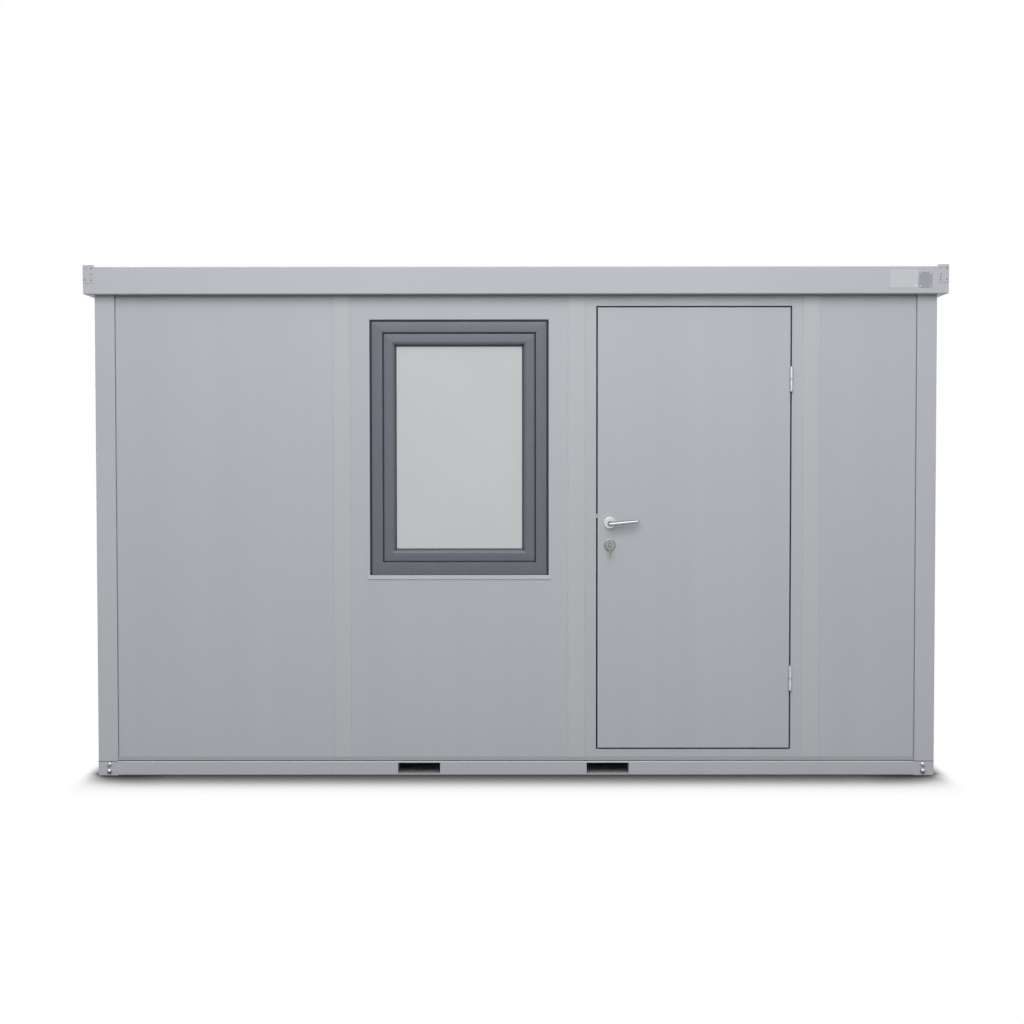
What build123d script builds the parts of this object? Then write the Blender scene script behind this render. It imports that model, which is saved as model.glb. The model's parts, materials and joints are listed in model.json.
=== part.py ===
from build123d import *
import os

# Flat-pack steel office cabin: a bolted base and roof frame on four corner posts, filled
# with insulated wall panels, one window and one outward-opening door.
# Sizes are in millimetres. X runs along the front from left to right, Y from the front
# (-Y) to the back, Z is up, and the origin is on the ground under the middle of the cabin.

# Steel frame
frame_length = 3910.0
frame_depth = 2110.0
base_height = 66.0
post_width = 92.0
post_bend = 5.0
rail_sheet = 4.0
rail_bend = 5.0
rail_flange_spare = 10.0

# Fork pockets through the base, from front to back
fork_pocket_width = 197.0
fork_pocket_sheet = 3.5
fork_pocket_spacing = 883.0
fork_pocket_shift = -12.0

# Floor
floor_thickness = 21.0
floor_clearance = 2.0
joist_width = 40.0
joist_place_shares = (-0.85, -0.5, 0.0, 0.5, 0.85)

# Wall panels and the profiles that join them
panel_thickness = 60.0
panel_recess = 10.0
panel_bite = 34.0
panel_groove_width = 5.0
panel_groove_depth = 8.0
narrow_bay = 447.0
joint_width = 80.0
joint_web = 20.0
joint_sheet = 2.5
joint_bevel = 1.0
joint_bottom_gap = 18.0

# Roof
eaves_overhang = 42.0
fascia_height = 126.0
fascia_sheet = 4.0
fascia_bottom_bend = 5.0
fascia_top_bend = 4.0
fascia_top_flange = 50.0
roof_thickness = 60.0
roof_rib_pitch = 333.0
roof_rib_base = 64.0
roof_rib_top = 30.0
roof_rib_height = 22.0
cap_sheet = 3.0
cap_top = 8.0
cap_width = 60.0
cap_drop = 84.0
cap_bend = 2.0

# Window
window_width = 816.0
window_height = 1182.0
window_head_drop = 122.0
window_margin = 98.5
window_gap = 9.0
window_setback = 4.0
window_depth = 70.0
window_face = 51.0
window_foot = 60.0
sash_gap = 8.0
sash_setback = 6.0
sash_face = 35.0
sash_bevel = 20.0
sash_lip = 12.0
sash_lip_depth = 14.0
glass_setback = 22.0
glass_thickness = 24.0
glass_bite = 12.0
gasket_setback = 2.0
gasket_depth = 30.0
sill_height = 18.0
sill_reach = 4.0
sill_sheet = 2.0
sill_ledge = 40.0
sill_side = 8.0

# Door opening, frame and leaf
door_opening_width = 910.0
door_opening_height = 2070.0
door_opening_bottom = 120.0
door_frame_face = 51.5
door_head_face = 51.0
door_gap = 7.0
door_frame_lip = 15.0
door_stop_width = 20.0
door_stop_depth = 20.0
leaf_thickness = 44.0
leaf_edge_radius = 2.0

# Door hinges
hinge_height = 118.0
lower_hinge_rise = 328.0
upper_hinge_drop = 333.0
hinge_radius = 7.5
hinge_pin_radius = 4.0
hinge_pin_clearance = 0.06
hinge_half_gap = 0.4
hinge_cap = 8.0
hinge_face_clearance = 1.0
hinge_wing_sheet = 2.5
hinge_wing_depth = 38.0

# Lever handle, lock and keys
lever_height = 1182.0
lock_backset = 57.0
lock_spacing = 103.0
rose_radius = 27.0
rose_thickness = 9.0
lever_neck_radius = 10.0
lever_neck_clearance = 0.12
lever_neck_depth = 6.0
lever_reach = 43.0
lever_length = 136.0
lever_root_radius = 9.5
lever_tip_radius = 7.0
lever_rise_degrees = 4.0
spindle_width = 8.0
spindle_hole_radius = 12.0
cylinder_radius = 15.0
cylinder_clearance = 0.1
cylinder_stand = 12.0
keyway_depth = 22.0
latch_rise = 32.0
latch_height = 20.0
latch_thickness = 14.0
latch_length = 50.0
latch_nose = 5.0
plate_sheet = 3.0
plate_width = 22.0
plate_above = 50.0
plate_below = 160.0
strike_depth = 12.0
key_sheet = 2.4
key_blade_height = 8.4
key_clearance = 0.1
key_blade_in = 20.0
key_neck = 4.0
key_bow_radius = 11.0
key_hole_radius = 3.0
key_hole_drop = 3.0
key_ring_radius = 11.0
key_ring_wire = 1.0
key_hang_clearance = 0.2
spare_bow_radius = 10.0
spare_hole_rise = 5.0
spare_blade_length = 27.0

# Heights and faces that follow from the sizes above
floor_top = base_height + floor_thickness
opening_top = door_opening_bottom + door_opening_height
fascia_bottom = opening_top + door_head_face
fascia_top = fascia_bottom + fascia_height
wall_top = fascia_bottom + panel_bite
window_top = fascia_bottom - window_head_drop
window_bottom = window_top - window_height
side_turns = {"front": 0.0, "right": 90.0, "back": 180.0, "left": 270.0}
corner_signs = {
    "front_left": (-1, -1),
    "front_right": (1, -1),
    "back_left": (-1, 1),
    "back_right": (1, 1),
}


def block(x0, x1, y0, y1, z0, z1):
    """A box between two opposite corners, given in either order."""
    low = (min(x0, x1), min(y0, y1), min(z0, z1))
    size = (abs(x1 - x0), abs(y1 - y0), abs(z1 - z0))
    return Pos(*low) * Box(*size, align=(Align.MIN, Align.MIN, Align.MIN))


def rod(x, z, y0, y1, radius):
    """A cylinder along Y between two depths."""
    turned_rod = Rot(90.0, 0, 0) * Cylinder(radius, abs(y1 - y0))
    return Pos(x, (y0 + y1) / 2, z) * turned_rod


def side_run(side):
    """Length of a wall over its two corner posts."""
    return frame_length if side in ("front", "back") else frame_depth


def side_reach(side):
    """Distance from the middle of the cabin to the post faces of a wall."""
    return (frame_depth if side in ("front", "back") else frame_length) / 2


def placed(solid, side):
    """A piece drawn as part of the front wall, turned to its own wall."""
    return Rot(0, 0, side_turns[side]) * solid


def bays(side):
    """Left and right edge of each bay between the joint profiles of a wall, seen from outside."""
    inner = side_run(side) / 2 - post_width
    if side in ("front", "back"):
        window_bay = window_width + 2 * window_margin
        door_bay = door_opening_width + 2 * door_frame_face
        set_bays = [window_bay, door_bay, narrow_bay]
    else:
        set_bays = [inner - joint_width / 2]
    plain_bay = 2 * inner - sum(width + joint_width for width in set_bays)
    edges = []
    start = -inner
    for width in [plain_bay] + set_bays:
        edges.append((start, start + width))
        start += width + joint_width
    return edges


# Base frame: a folded channel along each side, bolted to a block under each post

fork_centres = [
    fork_pocket_shift - fork_pocket_spacing / 2,
    fork_pocket_shift + fork_pocket_spacing / 2,
]
fork_bottom = rail_sheet + fork_pocket_sheet
fork_top = base_height - rail_sheet - fork_pocket_sheet
rail_flange = panel_recess + panel_thickness + rail_flange_spare


def fork_space(centre):
    """The free way of one fork pocket, longer than the cabin is deep."""
    half = fork_pocket_width / 2
    return block(centre - half, centre + half, -frame_depth, frame_depth, fork_bottom, fork_top)


def base_rail(side):
    """A channel folded from one sheet, open to the inside, with its two outer bends round."""
    inner = side_run(side) / 2 - post_width
    face = -side_reach(side)
    bar = block(-inner, inner, face, face + rail_flange, 0, base_height)
    rail = fillet(bar.faces().sort_by(Axis.Y)[0].edges().filter_by(Axis.X), rail_bend)
    rail -= block(-inner, inner, face + rail_sheet, face + rail_flange, rail_sheet, base_height - rail_sheet)
    rail = placed(rail, side)
    if side in ("front", "back"):
        for centre in fork_centres:
            rail -= fork_space(centre)
    return rail


def fork_pocket(centre):
    half = fork_pocket_width / 2 + fork_pocket_sheet
    end = frame_depth / 2 - rail_sheet
    tube = block(centre - half, centre + half, -end, end, rail_sheet, base_height - rail_sheet)
    return tube - fork_space(centre)


def corner_column(signs, bottom, top):
    """A square column at one corner of the frame, with its outer edge bent round."""
    x_sign, y_sign = signs
    x_out = x_sign * frame_length / 2
    y_out = y_sign * frame_depth / 2
    x_in = x_out - x_sign * post_width
    y_in = y_out - y_sign * post_width
    column = block(x_in, x_out, y_in, y_out, bottom, top)
    outer_edge = column.edges().filter_by(Axis.Z).sort_by_distance((x_out, y_out, (bottom + top) / 2))[0]
    return fillet(outer_edge, post_bend)


def floor_joist(share):
    middle = share * (frame_length / 2 - post_width)
    end = frame_depth / 2 - rail_flange
    half = joist_width / 2
    return block(middle - half, middle + half, -end, end, rail_sheet, base_height)


def floor_deck():
    x_end = frame_length / 2 - panel_recess - panel_thickness - floor_clearance
    y_end = frame_depth / 2 - panel_recess - panel_thickness - floor_clearance
    deck = block(-x_end, x_end, -y_end, y_end, base_height, floor_top)
    x_post = frame_length / 2 - post_width - floor_clearance
    y_post = frame_depth / 2 - post_width - floor_clearance
    for x_sign, y_sign in corner_signs.values():
        deck -= block(x_sign * x_post, x_sign * frame_length, y_sign * y_post, y_sign * frame_depth,
                      base_height, floor_top)
    return deck


# Walls: insulated panels standing on the base rails, joined by H-shaped profiles

panel_tuck = (joint_width - joint_web) / 2


def wall_panel(side, bay):
    """One panel, tucked under its joint profiles and grooved where it meets a post."""
    start, end = bay
    face = -side_reach(side) + panel_recess
    first = bay == bays(side)[0]
    last = bay == bays(side)[-1]
    left = start if first else start - panel_tuck
    right = end if last else end + panel_tuck
    panel = block(left, right, face, face + panel_thickness, base_height, wall_top)
    groove_back = face + panel_groove_depth
    if first:
        panel -= block(left, left + panel_groove_width, face, groove_back, base_height, wall_top)
    if last:
        panel -= block(right - panel_groove_width, right, face, groove_back, base_height, wall_top)
    return placed(panel, side)


def joint_profile(side, left, right):
    """The H-shaped profile between the right edge of one bay and the left edge of the next."""
    face = -side_reach(side) + panel_recess
    back = face + panel_thickness
    middle = (left + right) / 2
    strip = block(left, right, face - joint_sheet, face, base_height + joint_bottom_gap, wall_top)
    front_edges = strip.faces().sort_by(Axis.Y)[0].edges().filter_by(Axis.Z)
    profile = chamfer(front_edges, joint_bevel)
    profile += block(middle - joint_web / 2, middle + joint_web / 2, face, back, base_height, wall_top)
    profile += block(left, right, back, back + joint_sheet, floor_top, wall_top)
    return placed(profile, side)


def joint_profiles(side):
    """Every joint profile of a wall."""
    edges = bays(side)
    return [joint_profile(side, before[1], after[0]) for before, after in zip(edges, edges[1:])]


front_face = -frame_depth / 2 + panel_recess
front_back = front_face + panel_thickness
plain_edges, window_edges, door_edges, narrow_edges = bays("front")


# Window: a fixed frame in a sealed hole, with a sash, its pane and a sill flashing

window_middle = sum(window_edges) / 2
window_left = window_middle - window_width / 2
window_right = window_middle + window_width / 2
window_front = front_face + window_setback
sash_front = window_front + sash_setback
glass_front = sash_front + glass_setback
sash_left = window_left + window_face + sash_gap
sash_right = window_right - window_face - sash_gap
sash_bottom = window_bottom + window_foot + sash_gap
sash_top = window_top - window_face - sash_gap


def window_hole():
    return block(window_left - window_gap, window_right + window_gap, front_face - sill_reach,
                 front_back + window_depth, window_bottom - sill_sheet, window_top + window_gap)


def window_frame():
    back = window_front + window_depth
    frame = block(window_left, window_right, window_front, back, window_bottom, window_top)
    return frame - block(window_left + window_face, window_right - window_face, window_front, back,
                         window_bottom + window_foot, window_top - window_face)


def sash_rectangle(inset, depth):
    """The sash outline drawn in by an inset, as a face at one depth."""
    width = sash_right - sash_left - 2 * inset
    height = sash_top - sash_bottom - 2 * inset
    plane = Plane(origin=((sash_left + sash_right) / 2, depth, (sash_bottom + sash_top) / 2),
                  x_dir=(1, 0, 0), z_dir=(0, 1, 0))
    return plane * Rectangle(width, height)


def sash_box(inset, front, back):
    """The sash outline drawn in by an inset, as a slab between two depths."""
    return block(sash_left + inset, sash_right - inset, front, back,
                 sash_bottom + inset, sash_top - inset)


def window_sash():
    back = window_front + window_depth
    inner = sash_face + sash_bevel
    sash = sash_box(0, sash_front, back)
    sash += sash_box(-sash_gap - sash_lip, back, back + sash_lip_depth)
    sash -= sash_box(inner, sash_front, back + sash_lip_depth)
    sash -= loft([sash_rectangle(sash_face, sash_front), sash_rectangle(inner, glass_front)], ruled=True)
    return sash - sash_box(inner - glass_bite, glass_front, glass_front + glass_thickness)


def window_glass():
    return sash_box(sash_face + sash_bevel - glass_bite, glass_front, glass_front + glass_thickness)


def window_gasket():
    """The seal in the gap at both sides and over the frame."""
    front = front_face + gasket_setback
    back = front + gasket_depth
    seal = block(window_left - window_gap, window_right + window_gap, front, back,
                 window_bottom, window_top + window_gap)
    return seal - block(window_left, window_right, front, back, window_bottom, window_top)


def window_sill():
    left = window_left - window_gap - sill_side
    right = window_right + window_gap + sill_side
    nose = front_face - sill_reach
    apron = block(left, right, nose, front_face, window_bottom - sill_height, window_bottom)
    top_edge = apron.faces().sort_by(Axis.Y)[0].edges().sort_by(Axis.Z)[-1]
    sill = chamfer(top_edge, sill_sheet)
    return sill + block(window_left - window_gap, window_right + window_gap, front_face,
                        front_face + sill_ledge, window_bottom - sill_sheet, window_bottom)


# Door frame: two jambs, a head and a threshold, each with a stop behind the leaf

door_bay_left, door_bay_right = door_edges
door_middle = (door_bay_left + door_bay_right) / 2
opening_left = door_middle - door_opening_width / 2
opening_right = door_middle + door_opening_width / 2
frame_back = front_back + door_frame_lip
stop_front = frame_back - door_stop_depth
leaf_left = opening_left + door_gap
leaf_right = opening_right - door_gap
leaf_bottom = door_opening_bottom + door_gap
leaf_top = opening_top - door_gap
hinge_middles = (leaf_bottom + lower_hinge_rise, leaf_top - upper_hinge_drop)
leaf_back = front_face + leaf_thickness
hinge_x = opening_right - door_gap / 2
hinge_y = front_face - hinge_face_clearance - hinge_radius


def door_jamb(bay_edge, opening_edge):
    """One upright of the door frame; the sign leads from the bay edge to the opening."""
    sign = 1 if opening_edge > bay_edge else -1
    hidden_edge = bay_edge - sign * panel_tuck
    lip_edge = bay_edge + sign * floor_clearance
    stop_edge = opening_edge + sign * door_stop_width
    jamb = block(hidden_edge, opening_edge, front_face, front_back, base_height, wall_top)
    jamb += block(lip_edge, opening_edge, front_back, frame_back, floor_top, wall_top)
    return jamb + block(opening_edge, stop_edge, stop_front, frame_back,
                        door_opening_bottom, opening_top)


def door_head():
    head = block(opening_left, opening_right, front_face, frame_back, opening_top, wall_top)
    return head + block(opening_left + door_stop_width, opening_right - door_stop_width,
                        stop_front, frame_back, opening_top - door_stop_width, opening_top)


def door_threshold():
    sill = block(opening_left, opening_right, front_face, front_back, base_height, door_opening_bottom)
    sill += block(opening_left, opening_right, front_back, frame_back, floor_top, door_opening_bottom)
    return sill + block(opening_left + door_stop_width, opening_right - door_stop_width, stop_front,
                        frame_back, door_opening_bottom, door_opening_bottom + door_stop_width)


# Lift-off hinges: the lower half is fixed to the jamb with its pin, the upper half to the leaf

def upright(bottom, top, radius):
    """A cylinder on the hinge line between two heights."""
    return Pos(hinge_x, hinge_y, (bottom + top) / 2) * Cylinder(radius, top - bottom)


def hinge_frame_half(middle):
    bottom = middle - hinge_height / 2
    pin_top = middle + hinge_height / 2 - hinge_cap
    wing = block(opening_right, opening_right + hinge_wing_sheet, hinge_y, hinge_y + hinge_wing_depth,
                 bottom, middle)
    return upright(bottom, middle, hinge_radius) + upright(bottom, pin_top, hinge_pin_radius) + wing


def hinge_leaf_half(middle):
    bottom = middle + hinge_half_gap
    top = middle + hinge_height / 2
    wing = block(leaf_right - hinge_wing_sheet, leaf_right, hinge_y, hinge_y + hinge_wing_depth,
                 bottom, top)
    barrel = upright(bottom, top, hinge_radius) + wing
    return barrel - upright(bottom, top - hinge_cap + hinge_half_gap, hinge_pin_radius + hinge_pin_clearance)


# Lock: latch, edge plates, roses, cylinder and the keys left in it

lever_x = leaf_left + lock_backset
lock_height = lever_height - lock_spacing
latch_middle = lever_height + latch_rise
leaf_middle_depth = front_face + leaf_thickness / 2
cylinder_front = front_face - cylinder_stand


def latch_bolt():
    half = latch_height / 2
    depth = latch_thickness / 2
    return block(leaf_left - latch_nose, leaf_left + latch_length, leaf_middle_depth - depth,
                 leaf_middle_depth + depth, latch_middle - half, latch_middle + half)


def edge_plate(x0, x1):
    """A thin steel plate let into an upright edge beside the latch."""
    half = plate_width / 2
    return block(x0, x1, leaf_middle_depth - half, leaf_middle_depth + half,
                 latch_middle - plate_below, latch_middle + plate_above)


def strike_pocket():
    half = latch_height
    depth = plate_width / 2 - plate_sheet
    return block(opening_left - strike_depth, opening_left, leaf_middle_depth - depth,
                 leaf_middle_depth + depth, latch_middle - half, latch_middle + half)


def lock_forend():
    return edge_plate(leaf_left, leaf_left + plate_sheet) - latch_bolt()


def strike_plate():
    return edge_plate(opening_left - plate_sheet, opening_left) - strike_pocket()


def roses(height, bore):
    """The round plates of one height, outside and inside the leaf."""
    outside = rod(lever_x, height, front_face - rose_thickness, front_face, rose_radius)
    inside = rod(lever_x, height, leaf_back, leaf_back + rose_thickness, rose_radius)
    hole = rod(lever_x, height, front_face - rose_thickness, leaf_back + rose_thickness, bore)
    return [outside - hole, inside - hole]


def lock_cylinder():
    barrel = rod(lever_x, lock_height, cylinder_front, leaf_back + cylinder_stand, cylinder_radius)
    half = key_sheet / 2 + key_clearance
    tall = key_blade_height / 2 + key_clearance
    return barrel - block(lever_x - half, lever_x + half, cylinder_front, cylinder_front + keyway_depth,
                          lock_height - tall, lock_height + tall)


def flat_disc(y, z, radius):
    """A key-thick disc standing edge-on to the front."""
    return Pos(lever_x, y, z) * Rot(0, 90.0, 0) * Cylinder(radius, key_sheet)


def door_keys():
    """The key in the lock, the ring through its bow and the spare key hanging from the ring."""
    half = key_sheet / 2
    tall = key_blade_height / 2
    bow_y = cylinder_front - key_neck - key_bow_radius
    hole_z = lock_height - key_hole_drop
    key = flat_disc(bow_y, lock_height, key_bow_radius)
    key += block(lever_x - half, lever_x + half, bow_y, cylinder_front + key_blade_in,
                 lock_height - tall, lock_height + tall)
    key -= flat_disc(bow_y, hole_z, key_hole_radius)
    wire_top = hole_z - key_hole_radius + key_ring_wire + key_hang_clearance
    ring_z = wire_top - key_ring_radius
    ring = Pos(lever_x, bow_y, ring_z) * Rot(90.0, 0, 0) * Torus(key_ring_radius, key_ring_wire)
    spare_hole_z = ring_z - key_ring_radius + key_ring_wire + key_hang_clearance - key_hole_radius
    spare_z = spare_hole_z - spare_hole_rise
    spare = flat_disc(bow_y, spare_z, spare_bow_radius)
    spare += block(lever_x - half, lever_x + half, bow_y - tall, bow_y + tall,
                   spare_z - spare_bow_radius - spare_blade_length, spare_z - spare_hole_rise)
    spare -= flat_disc(bow_y, spare_hole_z, key_hole_radius)
    return [key, ring, spare]


# Door leaf: an insulated steel slab, pocketed for the hinges and the lock

def door_leaf():
    slab = block(leaf_left, leaf_right, front_face, leaf_back, leaf_bottom, leaf_top)
    leaf = fillet(slab.faces().sort_by(Axis.Y)[0].edges(), leaf_edge_radius)
    for middle in hinge_middles:
        leaf -= block(leaf_right - hinge_wing_sheet, leaf_right, front_face, hinge_y + hinge_wing_depth,
                      middle + hinge_half_gap, middle + hinge_height / 2)
    leaf -= edge_plate(leaf_left, leaf_left + plate_sheet)
    leaf -= latch_bolt()
    leaf -= rod(lever_x, lever_height, front_face, leaf_back, spindle_hole_radius)
    return leaf - rod(lever_x, lock_height, front_face, leaf_back, cylinder_radius + cylinder_clearance)


def latch_jamb():
    jamb = door_jamb(door_bay_left, opening_left)
    return jamb - edge_plate(opening_left - plate_sheet, opening_left) - strike_pocket()


def hinge_jamb():
    jamb = door_jamb(door_bay_right, opening_right)
    for middle in hinge_middles:
        jamb -= block(opening_right, opening_right + hinge_wing_sheet, front_face,
                      hinge_y + hinge_wing_depth, middle - hinge_height / 2, middle)
    return jamb


# Lever handle: two levers on one square spindle through the leaf

def lever(neck_start, grip_depth):
    """A round tapered lever on its neck; the grip leads away from the leaf edge."""
    neck = rod(lever_x, lever_height, neck_start, grip_depth, lever_neck_radius)
    elbow = Pos(lever_x, grip_depth, lever_height) * Sphere(lever_neck_radius)
    along = Pos(lever_x, grip_depth, lever_height) * Rot(0, 90.0 - lever_rise_degrees, 0)
    straight = lever_length - lever_tip_radius
    grip = along * Pos(0, 0, straight / 2) * Cone(lever_root_radius, lever_tip_radius, straight)
    tip = along * Pos(0, 0, straight) * Sphere(lever_tip_radius)
    return neck + elbow + grip + tip


def lever_outside():
    return lever(front_face + lever_neck_depth, front_face - lever_reach)


def lever_inside():
    half = spindle_width / 2
    handle = lever(leaf_back - lever_neck_depth, leaf_back + lever_reach)
    return handle + block(lever_x - half, lever_x + half, front_face + lever_neck_depth,
                          leaf_back - lever_neck_depth, lever_height - half, lever_height + half)


# Roof: a mitred fascia ring round a ribbed insulated deck, with a cap on each corner

def fascia(side):
    outer = side_reach(side) + eaves_overhang
    half = side_run(side) / 2 + eaves_overhang
    front = -outer
    web_back = front + fascia_sheet
    lip_back = front + eaves_overhang
    flange_back = front + fascia_top_flange
    outline = Polyline(
        (front, fascia_bottom),
        (lip_back, fascia_bottom),
        (lip_back, fascia_bottom + fascia_sheet),
        (web_back, fascia_bottom + fascia_sheet),
        (web_back, fascia_top - fascia_sheet),
        (flange_back, fascia_top - fascia_sheet),
        (flange_back, fascia_top),
        (front, fascia_top),
        close=True,
    )
    section = make_face(outline)
    bends = (
        (front, fascia_bottom, fascia_bottom_bend),
        (web_back, fascia_bottom + fascia_sheet, fascia_bottom_bend - fascia_sheet),
        (front, fascia_top, fascia_top_bend),
    )
    for depth, height, radius in bends:
        corner = section.vertices().sort_by_distance((depth, height, 0))[0]
        section = fillet(corner, radius)
    channel = extrude(Plane.YZ * section, half, both=True)
    mitre = make_face(Polyline(
        (-half, front),
        (half, front),
        (half - fascia_top_flange, flange_back),
        (fascia_top_flange - half, flange_back),
        close=True,
    ))
    return placed(channel & extrude(mitre, fascia_top + fascia_height), side)


def roof_deck():
    x_end = frame_length / 2 + eaves_overhang - fascia_sheet
    y_end = frame_depth / 2 + eaves_overhang - fascia_sheet
    top = wall_top + roof_thickness
    deck = block(-x_end, x_end, -y_end, y_end, wall_top, top)
    each_side = int((x_end - fascia_top_flange - roof_rib_base / 2) // roof_rib_pitch)
    for number in range(-each_side, each_side + 1):
        middle = number * roof_rib_pitch
        rib = Plane.XZ * make_face(Polyline(
            (middle - roof_rib_base / 2, top),
            (middle + roof_rib_base / 2, top),
            (middle + roof_rib_top / 2, top + roof_rib_height),
            (middle - roof_rib_top / 2, top + roof_rib_height),
            close=True,
        ))
        deck += extrude(rib, y_end, both=True)
    return deck


def roof_cap(signs):
    """A folded plate over one roof corner: a top and two legs."""
    x_sign, y_sign = signs
    x_face = x_sign * (frame_length / 2 + eaves_overhang)
    y_face = y_sign * (frame_depth / 2 + eaves_overhang)
    x_out = x_face + x_sign * cap_sheet
    y_out = y_face + y_sign * cap_sheet
    x_in = x_out - x_sign * cap_width
    y_in = y_out - y_sign * cap_width
    top = fascia_top + cap_top
    bottom = top - cap_drop
    cap = block(x_in, x_out, y_in, y_out, fascia_top, top)
    cap += block(x_in, x_out, y_face, y_out, bottom, fascia_top)
    cap += block(x_face, x_out, y_in, y_out, bottom, fascia_top)
    outer_edge = cap.edges().filter_by(Axis.Z).sort_by_distance((x_out, y_out, fascia_top))[0]
    return fillet(outer_edge, cap_bend)


# Every node, in the order in which the cabin goes together

all_sides = list(side_turns)
nodes = {f"base_rail_{side}": [base_rail(side)] for side in all_sides}
nodes["fork_pockets"] = [fork_pocket(centre) for centre in fork_centres]
nodes["base_corners"] = [corner_column(signs, 0, base_height) for signs in corner_signs.values()]
nodes["floor_joists"] = [floor_joist(share) for share in joist_place_shares]
nodes["floor_deck"] = [floor_deck()]
for corner_name, corner_sign in corner_signs.items():
    nodes[f"corner_post_{corner_name}"] = [corner_column(corner_sign, base_height, wall_top)]
nodes["front_plain_panel"] = [wall_panel("front", plain_edges)]
nodes["front_window_panel"] = [wall_panel("front", window_edges) - window_hole()]
nodes["front_narrow_panel"] = [wall_panel("front", narrow_edges)]
for side in ("back", "left", "right"):
    nodes[f"{side}_panels"] = [wall_panel(side, bay) for bay in bays(side)]
for side in all_sides:
    nodes[f"{side}_joint_profiles"] = joint_profiles(side)
nodes["window_sill"] = [window_sill()]
nodes["window_frame"] = [window_frame()]
nodes["window_gasket"] = [window_gasket()]
nodes["window_sash"] = [window_sash()]
nodes["window_glass"] = [window_glass()]
nodes["door_threshold"] = [door_threshold()]
nodes["door_jamb_latch"] = [latch_jamb()]
nodes["door_jamb_hinge"] = [hinge_jamb()]
nodes["door_head"] = [door_head()]
nodes["strike_plate"] = [strike_plate()]
nodes["hinge_frame_halves"] = [hinge_frame_half(middle) for middle in hinge_middles]
nodes["door_leaf"] = [door_leaf()]
nodes["hinge_leaf_halves"] = [hinge_leaf_half(middle) for middle in hinge_middles]
nodes["lock_forend"] = [lock_forend()]
nodes["latch_bolt"] = [latch_bolt()]
nodes["handle_roses"] = roses(lever_height, lever_neck_radius + lever_neck_clearance)
nodes["lock_roses"] = roses(lock_height, cylinder_radius + cylinder_clearance)
nodes["lock_cylinder"] = [lock_cylinder()]
nodes["door_keys"] = door_keys()
nodes["lever_outside"] = [lever_outside()]
nodes["lever_inside"] = [lever_inside()]
nodes["roof_deck"] = [roof_deck()]
for side in all_sides:
    nodes[f"roof_fascia_{side}"] = [fascia(side)]
nodes["roof_caps"] = [roof_cap(signs) for signs in corner_signs.values()]

os.makedirs("parts", exist_ok=True)
for node_name, pieces in nodes.items():
    solids = [solid for piece in pieces for solid in piece.solids()]
    export_step(solids[0] if len(solids) == 1 else Compound(solids), f"parts/{node_name}.step")
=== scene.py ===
import json
from math import asin, cos, pi, radians, sin, tan

import bmesh
import bpy
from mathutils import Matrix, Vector


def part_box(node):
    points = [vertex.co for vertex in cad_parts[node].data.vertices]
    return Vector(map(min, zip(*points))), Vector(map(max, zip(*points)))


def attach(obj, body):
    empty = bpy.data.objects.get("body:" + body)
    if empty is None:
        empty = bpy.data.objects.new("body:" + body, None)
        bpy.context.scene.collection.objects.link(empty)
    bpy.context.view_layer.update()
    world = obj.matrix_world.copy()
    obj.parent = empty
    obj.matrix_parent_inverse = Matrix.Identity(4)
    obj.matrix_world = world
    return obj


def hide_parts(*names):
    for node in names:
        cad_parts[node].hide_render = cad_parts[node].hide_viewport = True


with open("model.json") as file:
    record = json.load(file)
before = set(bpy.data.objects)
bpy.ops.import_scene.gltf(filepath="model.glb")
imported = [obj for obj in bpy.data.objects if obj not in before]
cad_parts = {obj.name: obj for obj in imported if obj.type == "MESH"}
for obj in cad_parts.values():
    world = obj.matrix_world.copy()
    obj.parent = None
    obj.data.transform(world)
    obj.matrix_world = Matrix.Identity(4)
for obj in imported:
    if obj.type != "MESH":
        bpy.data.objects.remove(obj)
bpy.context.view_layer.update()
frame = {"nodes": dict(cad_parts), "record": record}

# Base rails and corner blocks
# Channels folded from steel sheet run along the four sides, and a steel block closes each corner.
# They are powder coated in light grey before they are bolted together.

frame_greys = ("#B6B9BE", "#B9BCC1")
tone_places = (0.3, 0.7)
cloud_noise = (0.45, 3.0)
peel_noise = (0.006, 1.0)
peel_depth = 0.00004
peel_strength = 0.6
coat_roughness = (0.40, 0.48)
coat_ior = 1.5


def linear(hex_colour):
    """An sRGB hex colour as linear RGBA, by the curve of the sRGB standard."""
    shares = [int(hex_colour[place:place + 2], 16) / 255 for place in (1, 3, 5)]
    return [share / 12.92 if share <= 0.04045 else ((share + 0.055) / 1.055) ** 2.4 for share in shares] + [1]


def add_node(tree, kind, inputs=None, **settings):
    """Adds a node, with its settings and its inputs, each a value or a link."""
    node = tree.nodes.new(kind)
    for name, value in settings.items():
        setattr(node, name, value)
    for name, value in (inputs or {}).items():
        if isinstance(value, bpy.types.NodeSocket):
            tree.links.new(value, node.inputs[name])
        else:
            node.inputs[name].default_value = value
    return node


def new_material(name):
    """An empty node material, its object coordinates and a function that closes it with a shader."""
    material = bpy.data.materials.new(name)
    material.use_nodes = True
    tree = material.node_tree
    tree.nodes.clear()
    place = add_node(tree, "ShaderNodeTexCoord").outputs["Object"]

    def close(**inputs):
        named = {name.replace("_", " "): value for name, value in inputs.items()}
        shader = add_node(tree, "ShaderNodeBsdfPrincipled", named)
        add_node(tree, "ShaderNodeOutputMaterial", {"Surface": shader.outputs["BSDF"]})
        return material

    return tree, place, close


def noise(tree, place, pattern):
    """The value of a noise; its pattern gives the size of the patches and the detail in them."""
    size, detail = pattern
    inputs = {"Vector": place, "Scale": 1 / size, "Detail": detail}
    return add_node(tree, "ShaderNodeTexNoise", inputs).outputs["Fac"]


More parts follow.
